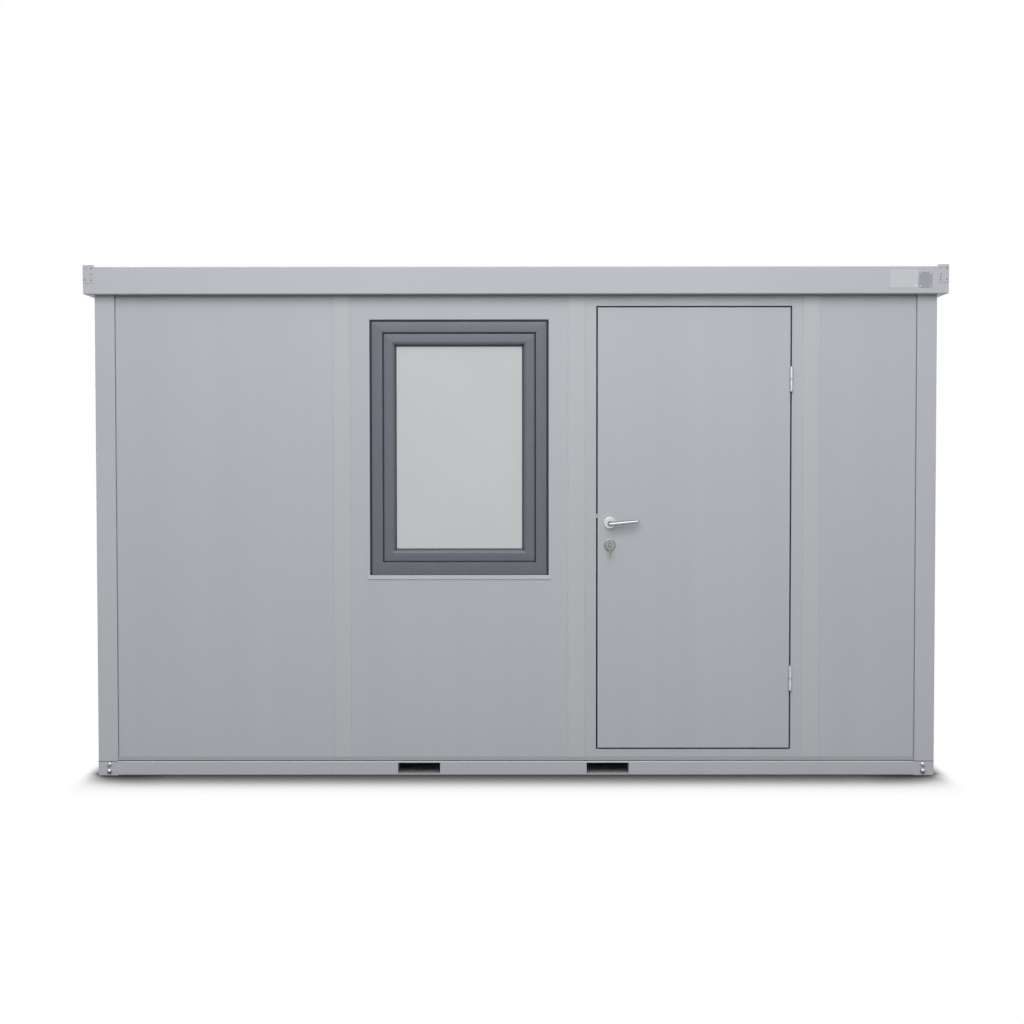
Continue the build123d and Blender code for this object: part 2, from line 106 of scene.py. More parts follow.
def tones(tree, value, colours, places=tone_places):
    """A colour that runs through hex colours as a pattern's value rises past their places."""
    ramp = add_node(tree, "ShaderNodeValToRGB", {"Fac": value})
    elements = ramp.color_ramp.elements
    stops = list(zip(places, colours))
    for element, (place, colour) in zip(elements, stops):
        element.position = place
        element.color = linear(colour)
    for place, colour in stops[2:]:
        elements.new(place).color = linear(colour)
    return ramp.outputs["Color"]


def between(tree, value, limits, span=(0.0, 1.0), **settings):
    """A value within a span, stretched between two limits."""
    inputs = {"Value": value, "From Min": span[0], "From Max": span[1],
              "To Min": limits[0], "To Max": limits[1]}
    return add_node(tree, "ShaderNodeMapRange", inputs, **settings).outputs["Result"]


def relief(tree, height, depth, strength, **inputs):
    """The normal of a surface with a pattern of a real depth."""
    inputs |= {"Height": height, "Distance": depth, "Strength": strength}
    return add_node(tree, "ShaderNodeBump", inputs).outputs["Normal"]


def powder_coat(name, colours):
    """Satin polyester powder: an even grey with faint clouds and a soft orange peel.
    The real peel is about 2 mm wide and is drawn three times as coarse so that it shows."""
    tree, place, close = new_material(name)
    clouds = noise(tree, place, cloud_noise)
    peel = noise(tree, place, peel_noise)
    return close(Base_Color=tones(tree, clouds, colours), Roughness=between(tree, peel, coat_roughness),
                 IOR=coat_ior, Normal=relief(tree, peel, peel_depth, peel_strength))


def finish_nodes(material, *names):
    """Gives CAD nodes their material."""
    for name in names:
        slots = frame["nodes"][name].data.materials
        slots.clear()
        slots.append(material)


wall_sides = ("front", "right", "back", "left")
frame_coat = powder_coat("powder_coated_steel", frame_greys)
finish_nodes(frame_coat, "base_corners", *[f"base_rail_{side}" for side in wall_sides])

# Corner bolts
# Two hexagon bolts with washers hold each rail end to its corner block, one above the other.
# They are zinc plated and catch bright highlights against the paint; their grey is painted darker than plain
# zinc, as painted shade.

bolt_inset = 0.052
bolt_heights = (0.020, 0.052)
bolt_sizes = {"Washer Radius": 0.0125, "Washer Height": 0.002, "Head Radius": 0.0105, "Head Height": 0.007,
              "Crown Share": 0.5, "Sides": 6}
washer_sides = 20
crown_height_share = 0.3
# The zinc's greys, which the screws and rivets share, are painted shade.
zinc_painted_shade_greys = ("#92969B", "#C2C5C9")
zinc_noise = (0.008, 2.0)
zinc_roughness = (0.22, 0.38)
turn_seed = 11
corner_signs = [(x_sign, y_sign) for x_sign in (-1, 1) for y_sign in (-1, 1)]


def mottled(name, colours, pattern, roughness, **inputs):
    """A surface whose colour and gloss change together, with one noise."""
    tree, place, close = new_material(name)
    patches = noise(tree, place, pattern)
    return close(Base_Color=tones(tree, patches, colours),
                 Roughness=between(tree, patches, roughness), **inputs)


def zinc_plating(name, colours):
    """Bright zinc on steel: a cool, glossy metal with small cloudy patches."""
    return mottled(name, colours, zinc_noise, zinc_roughness, Metallic=1.0)


def calculate(tree, operation, first, second=0.0):
    """The result of one sum in a node tree."""
    return add_node(tree, "ShaderNodeMath", {0: first, 1: second}, operation=operation).outputs[0]


def raised_cone(tree, sides, bottom, top, depth, lift):
    """A cone or a cylinder that stands at a height."""
    sizes = {"Vertices": sides, "Radius Top": top, "Radius Bottom": bottom, "Depth": depth}
    cone = add_node(tree, "GeometryNodeMeshCone", sizes).outputs["Mesh"]
    height = add_node(tree, "ShaderNodeCombineXYZ", {"Z": lift}).outputs["Vector"]
    raised = add_node(tree, "GeometryNodeTransform", {"Geometry": cone, "Translation": height})
    return raised.outputs["Geometry"]


def fastener_tree(name, material):
    """A node tree that sets one fastener on every point: a washer, a head and its crown."""
    tree = bpy.data.node_groups.new(name, "GeometryNodeTree")
    for way in ("INPUT", "OUTPUT"):
        tree.interface.new_socket("Geometry", in_out=way, socket_type="NodeSocketGeometry")
    for size in bolt_sizes:
        kind = "NodeSocketInt" if size == "Sides" else "NodeSocketFloat"
        tree.interface.new_socket(size, in_out="INPUT", socket_type=kind)
    given = add_node(tree, "NodeGroupInput").outputs
    washer, head, sides = given["Washer Radius"], given["Head Radius"], given["Sides"]
    crown = calculate(tree, "MULTIPLY", head, given["Crown Share"])
    crown_height = calculate(tree, "MULTIPLY", given["Head Height"], crown_height_share)
    crown_base = calculate(tree, "ADD", given["Washer Height"], given["Head Height"])
    whole = add_node(tree, "GeometryNodeJoinGeometry")
    for part in (raised_cone(tree, washer_sides, washer, washer, given["Washer Height"], 0.0),
                 raised_cone(tree, sides, head, head, given["Head Height"], given["Washer Height"]),
                 raised_cone(tree, sides, head, crown, crown_height, crown_base)):
        tree.links.new(part, whole.inputs["Geometry"])
    outward = add_node(tree, "GeometryNodeInputNamedAttribute", {"Name": "outward"}, data_type="FLOAT_VECTOR")
    upright = add_node(tree, "FunctionNodeAlignRotationToVector", {"Vector": outward.outputs["Attribute"]},
                       axis="Z")
    turn = add_node(tree, "FunctionNodeRandomValue", {"Min": 0.0, "Max": pi, "Seed": turn_seed},
                    data_type="FLOAT")
    spin = add_node(tree, "ShaderNodeCombineXYZ", {"Z": turn.outputs["Value"]})
    spin_turn = add_node(tree, "FunctionNodeEulerToRotation", {"Euler": spin.outputs["Vector"]})
    turned_way = add_node(tree, "FunctionNodeRotateRotation", {
        "Rotation": upright.outputs["Rotation"], "Rotate By": spin_turn.outputs["Rotation"],
    }, rotation_space="LOCAL")
    placed = add_node(tree, "GeometryNodeInstanceOnPoints", {
        "Points": given["Geometry"], "Instance": whole.outputs["Geometry"],
        "Rotation": turned_way.outputs["Rotation"],
    })
    real = add_node(tree, "GeometryNodeRealizeInstances", {"Geometry": placed.outputs["Instances"]})
    painted = add_node(tree, "GeometryNodeSetMaterial", {
        "Geometry": real.outputs["Geometry"], "Material": material,
    })
    add_node(tree, "NodeGroupOutput", {"Geometry": painted.outputs["Geometry"]})
    return tree


def place_object(name, data):
    """A new object in the scene."""
    placed = bpy.data.objects.new(name, data)
    bpy.context.scene.collection.objects.link(placed)
    return placed


def add_piece(name, mesh, material, body, stands_for=()):
    """A finished mesh with its material, as a piece that rides on a body."""
    mesh.materials.clear()
    mesh.materials.append(material)
    piece = place_object(name, mesh)
    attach(piece, body)
    if stands_for:
        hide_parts(*stands_for)


def set_fasteners(name, places, sizes, material, body):
    """Sets a fastener on each place, a point and the direction that its head faces, as one plain mesh."""
    points = bpy.data.meshes.new(name + "_points")
    points.from_pydata([point for point, _ in places], [], [])
    outward = points.attributes.new("outward", "FLOAT_VECTOR", "POINT")
    for entry, (_, direction) in zip(outward.data, places):
        entry.vector = direction
    carrier = place_object(name + "_points", points)
    modifier = carrier.modifiers.new("fasteners", "NODES")
    modifier.node_group = fastener_tree(name, material)
    for item in modifier.node_group.interface.items_tree:
        if item.name in sizes:
            modifier[item.identifier] = sizes[item.name]
    evaluated = carrier.evaluated_get(bpy.context.evaluated_depsgraph_get())
    mesh = bpy.data.meshes.new_from_object(evaluated)
    bpy.data.objects.remove(carrier)
    add_piece(name, mesh, material, body)


corner_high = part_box("base_corners")[1]
zinc = zinc_plating("bright_zinc_plated_steel", zinc_painted_shade_greys)
bolt_places = []
for height in bolt_heights:
    for x_sign, y_sign in corner_signs:
        long_side = (x_sign * (corner_high.x - bolt_inset), y_sign * corner_high.y, height)
        short_side = (x_sign * corner_high.x, y_sign * (corner_high.y - bolt_inset), height)
        bolt_places += [(long_side, (0, y_sign, 0)), (short_side, (x_sign, 0, 0))]
set_fasteners("corner_bolts", bolt_places, bolt_sizes, zinc, "cabin")

# Fork pockets and floor joists
# Rectangular steel tubes for a forklift run from front to back, and joists carry the floor between them.
# They are hot-dip galvanised and left unpainted; the pockets have a paler, duller copy of the zinc, painted
# light that lifts the shade inside them.

galvanised_greys = ("#6F7478", "#969B9F")
galvanised_metal_share = 0.85
# The pockets' pale greys and low metal share are painted light inside the pockets.
pocket_painted_light_greys = ("#A6AAAE", "#BEC2C6")
pocket_painted_light_metal_share = 0.1
galvanised_roughness = (0.42, 0.58)
spangle_size = 0.014
spangle_places = (0.1, 0.9)


def galvanised_steel(name, colours, metal_share):
    """Hot-dip zinc: a dull grey metal with the flat crystal spangle of the cooled bath.
    Its share of metal is given; a low share with pale greys makes a lighter copy, as painted light."""
    tree, place, close = new_material(name)
    cells = {"Vector": place, "Scale": 1 / spangle_size}
    spangle = add_node(tree, "ShaderNodeTexVoronoi", cells, feature="F1").outputs["Color"]
    tone = add_node(tree, "ShaderNodeSeparateColor", {"Color": spangle}).outputs
    return close(Base_Color=tones(tree, tone["Red"], colours, spangle_places), Metallic=metal_share,
                 Roughness=between(tree, tone["Green"], galvanised_roughness))


galvanised = galvanised_steel("hot_dip_galvanised_steel", galvanised_greys, galvanised_metal_share)
pocket_painted_light_zinc = galvanised_steel("weathered_galvanised_steel", pocket_painted_light_greys, pocket_painted_light_metal_share)
finish_nodes(galvanised, "floor_joists")
finish_nodes(pocket_painted_light_zinc, "fork_pockets")

# Floor deck
# A film-faced plywood sheet lies on the joists, inside the walls.
# Its brown resin film is pressed with a fine wire mesh against slipping.

film_browns = ("#4A3428", "#5C4233")
film_roughness = 0.52
mesh_pitch = 0.010
mesh_depth = 0.0002
mesh_strength = 0.8
veneer_noise = (0.16, 5.0)


def film_faced_plywood(name):
    """Phenolic film on birch ply: dark brown, faintly cloudy, with a pressed wire mesh.
    The real mesh is about 5 mm and is drawn twice as wide so that it shows."""
    tree, place, close = new_material(name)
    clouds = noise(tree, place, veneer_noise)
    cells = {"Vector": place, "Scale": 1 / mesh_pitch, "Randomness": 0.0}
    wires = add_node(tree, "ShaderNodeTexVoronoi", cells, feature="DISTANCE_TO_EDGE").outputs["Distance"]
    return close(Base_Color=tones(tree, clouds, film_browns), Roughness=film_roughness, IOR=coat_ior,
                 Normal=relief(tree, wires, mesh_depth, mesh_strength))


finish_nodes(film_faced_plywood("film_faced_plywood"), "floor_deck")

# Corner posts
# Four folded steel posts stand on the corner blocks and carry the roof frame.
# They have the same powder coat as the base, and a thin rubber pad seals the joint under each of them.

rubber_blacks = ("#0F1011", "#1B1C1E")
rubber_noise = (0.003, 3.0)
rubber_roughness = (0.62, 0.78)
sharp_angle = radians(32)
pad_height = 0.0025
pad_proud = 0.0002


def sealing_rubber(name, colours):
    """Sealing rubber or compound: dull, with a slightly uneven skin."""
    return mottled(name, colours, rubber_noise, rubber_roughness, IOR=coat_ior)


def add_block(shape, low, high):
    """Adds a box between two corners."""
    spots = [(x, y, z) for x in (low[0], high[0]) for y in (low[1], high[1]) for z in (low[2], high[2])]
    made = [shape.verts.new(spot) for spot in spots]
    for face in ((0, 1, 3, 2), (4, 6, 7, 5), (0, 4, 5, 1), (2, 3, 7, 6), (0, 2, 6, 4), (1, 5, 7, 3)):
        shape.faces.new([made[number] for number in face])


def add_shape(name, shape, material, body, stands_for=()):
    """Closes a bmesh as a piece with outward faces, smooth where it is round."""
    bmesh.ops.recalc_face_normals(shape, faces=shape.faces[:])
    mesh = bpy.data.meshes.new(name)
    shape.to_mesh(mesh)
    shape.free()
    mesh.shade_smooth()
    mesh.set_sharp_from_angle(angle=sharp_angle)
    add_piece(name, mesh, material, body, stands_for)


post_corners = ("front_left", "front_right", "back_left", "back_right")
finish_nodes(frame_coat, *[f"corner_post_{corner}" for corner in post_corners])
rubber = sealing_rubber("black_sealing_rubber", rubber_blacks)
post_low, post_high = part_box("corner_post_back_right")
pad_shape = bmesh.new()
for x_sign, y_sign in corner_signs:
    add_block(pad_shape, (x_sign * post_low.x, y_sign * post_low.y, post_low.z - pad_height / 2),
              (x_sign * (post_high.x + pad_proud), y_sign * (post_high.y + pad_proud),
               post_low.z + pad_height / 2))
add_shape("post_foot_pads", pad_shape, rubber, "cabin")

# Wall panels
# Insulated panels with a foam core stand on the base rails between the posts.
# Their steel skins are coated on the coil, so the paint is smooth and runs with the sheet.

panel_greys = ("#B4B7BC", "#B7BABF")
panel_roughness = (0.40, 0.50)
streak_noise = (0.11, 4.0)
streak_stretch_share = 0.06
buckle_noise = (0.55, 0.0)
buckle_depth = 0.0012
grain_noise = (0.004, 1.0)
grain_depth = 0.00003
sheet_strength = 0.5


def coil_coated_steel(name, colours, roughness=panel_roughness):
    """Coil-coated sheet: a smooth satin grey with faint upright rolling streaks, and the slow,
    shallow waves of thin steel over foam. The fine paint grain is drawn coarser than the real one."""
    tree, place, close = new_material(name)
    along = add_node(tree, "ShaderNodeMapping", {"Vector": place, "Scale": (1, 1, streak_stretch_share)})
    streaks = noise(tree, along.outputs["Vector"], streak_noise)
    grain = noise(tree, place, grain_noise)
    waves = relief(tree, noise(tree, place, buckle_noise), buckle_depth, sheet_strength)
    return close(Base_Color=tones(tree, streaks, colours), Roughness=between(tree, grain, roughness),
                 IOR=coat_ior, Normal=relief(tree, grain, grain_depth, sheet_strength, Normal=waves))


panel_skin = coil_coated_steel("coil_coated_panel_steel", panel_greys)
finish_nodes(panel_skin, "front_plain_panel", "front_window_panel", "front_narrow_panel", "back_panels",
             "left_panels", "right_panels")

# Joint profiles
# H-shaped profiles slide over the panel edges and cover the joints with a flat strip.
# They are folded from the same coated sheet, a shade lighter than the panels.

strip_greys = ("#B8BBBF", "#BABDC1")

strip_skin = coil_coated_steel("coil_coated_joint_strip", strip_greys)
finish_nodes(strip_skin, *[f"{side}_joint_profiles" for side in wall_sides])

# Post sealant
# A bead of sealing compound lies in the groove between each post and the panel beside it.
# It is grey and dull, and smoothed off a little below the panel's face.

sealant_greys = ("#AEB1B6", "#B2B5BA")
groove_width = 0.005
groove_depth = 0.008
sealant_width = 0.0034
sealant_setback = 0.001

long_low, long_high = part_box("back_panels")
end_low, end_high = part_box("right_panels")
sealant = sealing_rubber("grey_sealing_compound", sealant_greys)
sealant_shape = bmesh.new()
for x_sign, y_sign in corner_signs:
    groove_x = x_sign * (long_high.x - groove_width)
    groove_y = y_sign * (end_high.y - groove_width)
    add_block(sealant_shape, (groove_x, y_sign * (long_high.y - groove_depth), long_low.z),
              (groove_x + x_sign * sealant_width, y_sign * (long_high.y - sealant_setback), long_high.z))
    add_block(sealant_shape, (x_sign * (end_high.x - groove_depth), groove_y, end_low.z),
              (x_sign * (end_high.x - sealant_setback), groove_y + y_sign * sealant_width, end_high.z))
add_shape("post_sealant", sealant_shape, sealant, "cabin")

# Foot shade strips
# A narrow strip, darker than the paint, lies along the foot of each wall between the posts, where the panels
# stand on the rail.
# Its grey is painted shade, and a thin black rubber strip under it is a painted shadow line at the rail's
# top.

# The strip's grey is painted shade at the foot of the wall.
foot_shade_greys = ("#A4A7AB", "#AAADB1")
foot_shade_noise = (0.005, 4.0)
foot_shade_roughness = (0.60, 0.75)
foot_shade_height = 0.018
foot_shade_thickness = 0.001
# The black rubber strip under it is a painted shadow line.
shadow_line_height = 0.0034


def foot_shade_finish(name):
    """Painted shade at the wall's foot: a dull mid grey with a fine open grain."""
    return mottled(name, foot_shade_greys, foot_shade_noise, foot_shade_roughness, IOR=coat_ior)


foot_shade_bottom = long_low.z + shadow_line_height
foot_shade_top = foot_shade_bottom + foot_shade_height
foot_shade_shape = bmesh.new()
shadow_line_shape = bmesh.new()
for sign in (-1, 1):
    long_face, long_out = sign * long_high.y, sign * (long_high.y + foot_shade_thickness)
    end_face, end_out = sign * end_high.x, sign * (end_high.x + foot_shade_thickness)
    for shape, bottom, top in ((foot_shade_shape, foot_shade_bottom, foot_shade_top), (shadow_line_shape, long_low.z, foot_shade_bottom)):
        add_block(shape, (long_low.x, long_face, bottom), (long_high.x, long_out, top))
        add_block(shape, (end_face, end_low.y, bottom), (end_out, end_high.y, top))
add_shape("foot_shade_strip", foot_shade_shape, foot_shade_finish("foamed_sealing_tape"), "cabin")
add_shape("foot_shadow_line", shadow_line_shape, rubber, "cabin")

# Window sill flashing and seal
# A drip sill, folded from sheet and powder coated, lies under the window.
# A black rubber seal fills the gap round the window's frame.

sill_greys = ("#BEC1C6", "#C1C4C9")

finish_nodes(powder_coat("powder_coated_sill", sill_greys), "window_sill")
finish_nodes(rubber, "window_gasket")

# Window frame
# A fixed frame of four mitred plastic lengths is screwed into the panel's hole.
# The plastic is extruded through its mass in dark grey and welded at the corners.

window_greys = ("#5E626A", "#61656D")
plastic_cloud_noise = (0.060, 3.0)
plastic_grain_noise = (0.003, 2.0)
frame_roughness = (0.38, 0.46)
frame_edge_radius = 0.003
mitre_seam = 0.0004
frame_face = 0.051
frame_foot = 0.060
round_steps = 5


def extruded_plastic(name, roughness):
    """Window plastic: a satin dark grey, faintly cloudy, under a finely grained skin."""
    tree, place, close = new_material(name)
    clouds = noise(tree, place, plastic_cloud_noise)
    grain = noise(tree, place, plastic_grain_noise)
    return close(Base_Color=tones(tree, clouds, window_greys), Roughness=between(tree, grain, roughness),
                 IOR=coat_ior)


def arc(along, across, radius, start, end, steps=round_steps):
    """Points of an arc about a centre, between two angles in quarter turns."""
    angles = [(start + (end - start) * step / steps) * pi / 2 for step in range(steps + 1)]
    return [(along + radius * cos(angle), across + radius * sin(angle)) for angle in angles]


def join_rings(shape, rings, sides):
    """Joins rings of points, each with all sides or closed to one point, with faces."""
    for before, after in zip(rings, rings[1:]):
        for number in range(sides):
            beside = (number + 1) % sides
            corners = [before[number % len(before)], before[beside % len(before)],
                       after[beside % len(after)], after[number % len(after)]]
            shape.faces.new(list(dict.fromkeys(corners)))


def mitred_lengths(outline, profile, foot_share, seam):
    """Four lengths of one profile round an upright rectangle, cut to a mitre with a seam between them.
    The profile gives the inset from the outline and the depth; the foot is wider by its share."""
    left, right, bottom, top = outline
    shape = bmesh.new()
    walk = [(-1, -1), (1, -1), (1, 1), (-1, 1)]
    for start, end in zip(walk, walk[1:] + walk[:1]):
        along = Vector((end[0] - start[0], 0, end[1] - start[1])).normalized()
        ends = []
        for (x_side, z_side), pull in ((start, seam / 2), (end, -seam / 2)):
            ring = []
            for inset, depth in profile:
                x = left + inset if x_side < 0 else right - inset
                z = bottom + inset * foot_share if z_side < 0 else top - inset
                ring.append(shape.verts.new(Vector((x, depth, z)) + along * pull))
            ends.append(ring)
        join_rings(shape, ends, len(profile))
        shape.faces.new(ends[0][::-1])
        shape.faces.new(ends[1])
    return shape


window_low, window_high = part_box("window_frame")
window_outline = (window_low.x, window_high.x, window_low.z, window_high.z)
frame_plastic = extruded_plastic("extruded_frame_plastic", frame_roughness)
frame_profile = (
    arc(frame_edge_radius, window_low.y + frame_edge_radius, frame_edge_radius, 2, 3)
    + arc(frame_face - frame_edge_radius, window_low.y + frame_edge_radius, frame_edge_radius, 3, 4)
    + [(frame_face, window_high.y), (0, window_high.y)]
)
frame_shape = mitred_lengths(window_outline, frame_profile, frame_foot / frame_face, mitre_seam)
add_shape("window_frame_lengths", frame_shape, frame_plastic, "cabin", ["window_frame"])

# Window sash
# The sash sits in the frame with a shadow gap, and a bead slopes from its inner edge back to the pane.
# It is welded from four mitred lengths of the same plastic, with a lip behind the frame.

sash_roughness = (0.40, 0.48)
sash_rim = 0.0025
sash_lip = 0.020
sash_lip_depth = 0.014
sash_face = 0.035
sash_bead = 0.018
bead_edge = 0.006
bead_tilt = radians(20)
bead_face = 0.009
pane_bite = 0.010

sash_low, sash_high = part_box("window_sash")
pane_low, pane_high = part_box("window_glass")
sash_outline = (sash_low.x + sash_lip, sash_high.x - sash_lip, sash_low.z + sash_lip, sash_high.z - sash_lip)
sash_inner = sash_face + sash_bead
bead_drop = bead_edge * (1 - cos(bead_tilt)) + (bead_face - bead_edge * sin(bead_tilt)) * tan(bead_tilt)
lip_front = sash_high.y - sash_lip_depth
sash_profile = (
    arc(frame_edge_radius - sash_rim, sash_low.y + frame_edge_radius, frame_edge_radius, 2, 3)
    + arc(sash_face, sash_low.y + bead_edge, bead_edge, 3, 3 + bead_tilt / (pi / 2))
    + [(sash_face + bead_face, sash_low.y + bead_drop), (sash_inner, pane_low.y),
       (sash_inner - pane_bite, pane_low.y), (sash_inner - pane_bite, pane_high.y), (sash_inner, pane_high.y),
       (sash_inner, sash_high.y), (-sash_lip, sash_high.y), (-sash_lip, lip_front), (-sash_rim, lip_front)]
)
sash_plastic = extruded_plastic("extruded_sash_plastic", sash_roughness)
sash_shape = mitred_lengths(sash_outline, sash_profile, 1, mitre_seam)
add_shape("window_sash_lengths", sash_shape, sash_plastic, "cabin", ["window_sash"])

# Window seals
# A rubber lip closes the gap between frame and sash, and a narrow bead holds the pane.
# Both are a shade greyer than the black seal round the frame.

seal_greys = ("#36373B", "#404145")
sash_gap = 0.008
sash_seal_clearance = 0.0002
sash_seal_setback = 0.002
sash_seal_depth = 0.010
pane_bead_width = 0.003
pane_bead_height = 0.002


def seal_ring(name, outline, near, far, front, back, material):
    """A rubber seal of one rounded section, in four lengths that meet at the corners."""
    radius = min(far - near, back - front) / 2
    profile = (
        arc(near + radius, front + radius, radius, 2, 3)
        + arc(far - radius, front + radius, radius, 3, 4)
        + [(far, back), (near, back)]
    )
    add_shape(name, mitred_lengths(outline, profile, 1, 0), material, "cabin")


grey_rubber = sealing_rubber("grey_sealing_rubber", seal_greys)
sash_seal_front = sash_low.y + sash_seal_setback
seal_ring("sash_seal", sash_outline, sash_seal_clearance - sash_gap, -sash_rim - sash_seal_clearance,
          sash_seal_front, sash_seal_front + sash_seal_depth, grey_rubber)
seal_ring("pane_bead", sash_outline, sash_inner, sash_inner + pane_bead_width,
          pane_low.y - pane_bead_height, pane_low.y, grey_rubber)

# Window pane
# An insulating pane of opal glass lets light in and hides the room behind it.
# It bites into the sash all round and is held by the bead.

opal_greys = ("#CACCCE", "#CDCFD1")
opal_noise = (0.35, 2.0)
opal_roughness = 0.12
opal_ior = 1.52


def opal_glass(name):
    """Milky insulating glass: an even pale grey under a polished face."""
    tree, place, close = new_material(name)
    clouds = noise(tree, place, opal_noise)
    return close(Base_Color=tones(tree, clouds, opal_greys), Roughness=opal_roughness, IOR=opal_ior)


finish_nodes(opal_glass("opal_insulating_glass"), "window_glass")

# Door frame
# Two jambs, a head and a threshold fill the door bay, flush with the panels.
# They are folded from coated sheet and carry a rubber seal on the stop behind the leaf.

door_stop = 0.020
stop_depth = 0.020
door_seal_inset = 0.002
door_seal_width = 0.010
door_seal_clearance = 0.0005

finish_nodes(panel_skin, "door_threshold", "door_jamb_latch", "door_jamb_hinge", "door_head")
leaf_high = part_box("door_leaf")[1]
threshold_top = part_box("door_threshold")[1].z
head_low, head_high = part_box("door_head")
opening = (head_low.x, head_high.x, threshold_top - door_stop, head_low.z + door_stop)
seal_ring("door_seal", opening, door_seal_inset, door_seal_inset + door_seal_width,
          leaf_high.y + door_seal_clearance, head_high.y - stop_depth, rubber)

# Door leaf
# A flush leaf hangs in the frame, level with the wall.
# It is made of two steel skins over insulation, coated in the grey of the panels.

finish_nodes(coil_coated_steel("coil_coated_door_steel", panel_greys), "door_leaf")

# Door hinges
# Two lift-off hinges stand in the gap on the right, each with a knuckle on the frame and one on the leaf.
# The knuckles are turned steel, zinc plated, on wings that are let into the edges of frame and leaf.

hinge_greys = ("#B4B7BA", "#CACCCE")
hinge_half_height = 0.059
hinge_play = 0.0004
knuckle_chamfer = 0.0015
groove_half_width = 0.0006
groove_setback = 0.004
knuckle_sides = 32
wing_sheet = 0.0025


def turned_solid(shape, centre, along, profile, sides, ring=False):
    """Adds a turned solid about a line along Y or Z; the profile gives radius and place on that line.
    A ring's profile is closed on itself, and a full solid's starts and ends on the line."""
    rings = []
    for radius, place in profile:
        made = []
        for number in range(sides if radius > 0 else 1):
            angle = 2 * pi * number / sides
            across, up = radius * cos(angle), radius * sin(angle)
            if along == "Z":
                made.append(shape.verts.new((centre.x + across, centre.y + up, place)))
            else:
                made.append(shape.verts.new((centre.x + across, place, centre.z + up)))
        rings.append(made)
    join_rings(shape, rings + rings[:1] if ring else rings, sides)


joint_places = {joint["name"]: Vector(joint["pos_m"]) for joint in frame["record"]["behaviour"]["joints"]}
hinge_line = joint_places["door_swing"]
hinge_zinc = zinc_plating("bright_zinc_hinge_steel", hinge_greys)


def hinge_knuckles(name, node, spans, wing_left, body):
    """Turned knuckles with a fine groove near each end, and their wings, in place of a CAD node."""
    shape = bmesh.new()
    low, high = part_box(node)
    radius = hinge_line.y - low.y
    slim = radius - knuckle_chamfer
    for bottom, top in spans:
        profile = [(0, bottom), (slim, bottom), (radius, bottom + knuckle_chamfer)]
        for groove in (bottom + groove_setback, top - groove_setback):
            profile += [(radius, groove - groove_half_width), (slim, groove),
                        (radius, groove + groove_half_width)]
        profile += [(radius, top - knuckle_chamfer), (slim, top), (0, top)]
        turned_solid(shape, hinge_line, "Z", profile, knuckle_sides)
        add_block(shape, (wing_left, hinge_line.y, bottom), (wing_left + wing_sheet, high.y, top))
    add_shape(name, shape, hinge_zinc, body, [node])


lower_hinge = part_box("hinge_frame_halves")[0].z + hinge_half_height
upper_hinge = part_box("hinge_leaf_halves")[1].z - hinge_half_height
hinge_middles = (lower_hinge, upper_hinge)
hinge_knuckles("hinge_frame_knuckles", "hinge_frame_halves",
               [(middle - hinge_half_height, middle) for middle in hinge_middles], head_high.x, "cabin")
hinge_knuckles("hinge_leaf_knuckles", "hinge_leaf_halves",
               [(middle + hinge_play, middle + hinge_half_height) for middle in hinge_middles],
               leaf_high.x - wing_sheet, "door")

# Lock plates and latch
# A steel forend is let into the leaf's edge round the latch bolt, and a strike plate into the jamb.
# Both are ground stainless steel, held by a countersunk screw at each end.

satin_greys = ("#A5A7A8", "#C6C8C9")
satin_roughness = (0.26, 0.36)
brush_noise = (0.0012, 2.0)
brush_stretch_share = 0.03
plate_screw_inset = 0.012
plate_screw_sizes = {"Washer Radius": 0.0038, "Washer Height": 0.0002, "Head Radius": 0.0032,
                     "Head Height": 0.0004, "Crown Share": 0.6, "Sides": 12}


def satin_stainless(name, colours):
    """Stainless steel ground to a satin: a soft grey metal with fine marks along the piece.
    The real marks are finer than 0.2 mm and are drawn coarser so that they show."""
    tree, place, close = new_material(name)
    along = add_node(tree, "ShaderNodeMapping", {"Vector": place, "Scale": (brush_stretch_share, 1, 1)})
    marks = noise(tree, along.outputs["Vector"], brush_noise)
    return close(Base_Color=tones(tree, marks, colours), Metallic=1.0,
                 Roughness=between(tree, marks, satin_roughness))


def plate_screws(name, node, side, body):
    """A countersunk screw near each end of an edge plate, on the face that looks along X."""
    low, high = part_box(node)
    face = high.x if side > 0 else low.x
    middle = (low.y + high.y) / 2
    heights = (low.z + plate_screw_inset, high.z - plate_screw_inset)
    places = [((face, middle, height), (side, 0, 0)) for height in heights]
    set_fasteners(name, places, plate_screw_sizes, zinc, body)


satin_steel = satin_stainless("satin_stainless_steel", satin_greys)
finish_nodes(satin_steel, "strike_plate", "lock_forend", "latch_bolt")
plate_screws("strike_plate_screws", "strike_plate", 1, "cabin")
plate_screws("forend_screws", "lock_forend", -1, "door")

# Handle roses and lock roses
# Round stainless cover plates sit on both faces of the leaf, over the lever's neck and the lock cylinder.
# Each is pressed from sheet, with a rolled rim and a shallow dish round its bore; the lock roses are painted
# darker.

# The handle roses' grey is lighter than the plates' satin steel, as painted sheen, and the lock roses' is
# darker, as painted shade.
handle_rose_sheen_greys = ("#B9BBBC", "#DDDFE0")
lock_rose_shade_greys = ("#8B8C8C", "#A7A8A8")
rose_sides = 64
rose_thickness = 0.009
rose_rim = 0.003
rose_rim_steps = 6
rose_dish = 0.0018
handle_bore = 0.0102
lock_bore = 0.0152


